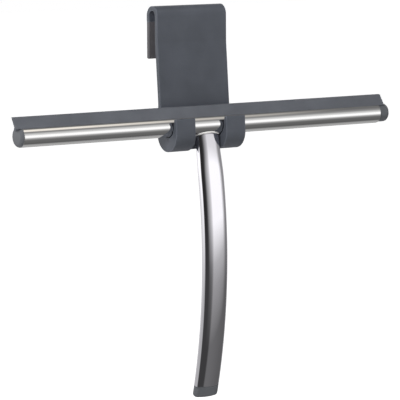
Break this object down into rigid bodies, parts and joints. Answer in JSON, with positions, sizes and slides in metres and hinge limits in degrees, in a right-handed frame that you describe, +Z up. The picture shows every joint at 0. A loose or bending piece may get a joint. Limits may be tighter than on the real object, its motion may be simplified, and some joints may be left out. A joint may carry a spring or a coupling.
{
  "type": "bathroom squeegee with over-glass hanger",
  "caption": "Bathroom squeegee with a steel head tube, rubber blade and bowed oval handle, resting in a moulded hanger that hooks over a glass shower screen.",
  "frame": {"origin": "middle of the hanger's crown, where it rests on the top edge of the glass", "axes": "+X along the blade, to the right seen from the front; +Y back through the glass; +Z up"},
  "size_m": [0.2531, 0.0348, 0.2259],
  "materials": {
    "hanger_plastic": "fine matte moulded texture",
    "soft_grip": "soft matte overmould",
    "polished_steel": "mirror polished",
    "weld_steel": "ground and polished weld",
    "blade_rubber": "smooth matte rubber",
    "rail_plastic": "extruded, unseen",
    "cap_plastic": "satin moulded"
  },
  "bodies": {
    "hanger": {"hanger": "hanger_plastic", "rear_grip_boot": "soft_grip"},
    "squeegee": {"head_tube": "polished_steel", "blade": "blade_rubber", "blade_rail": "rail_plastic", "left_end_cap": "cap_plastic", "right_end_cap": "cap_plastic", "handle_tube": "polished_steel", "neck_weld_bead": "weld_steel", "handle_end_cap": "cap_plastic"}
  },
  "joints": [
    {"name": "lift_off", "type": "slide", "parent": "hanger", "child": "squeegee", "axis": [0, 0, 1], "range_m": [0, 0.03]}
  ]
}
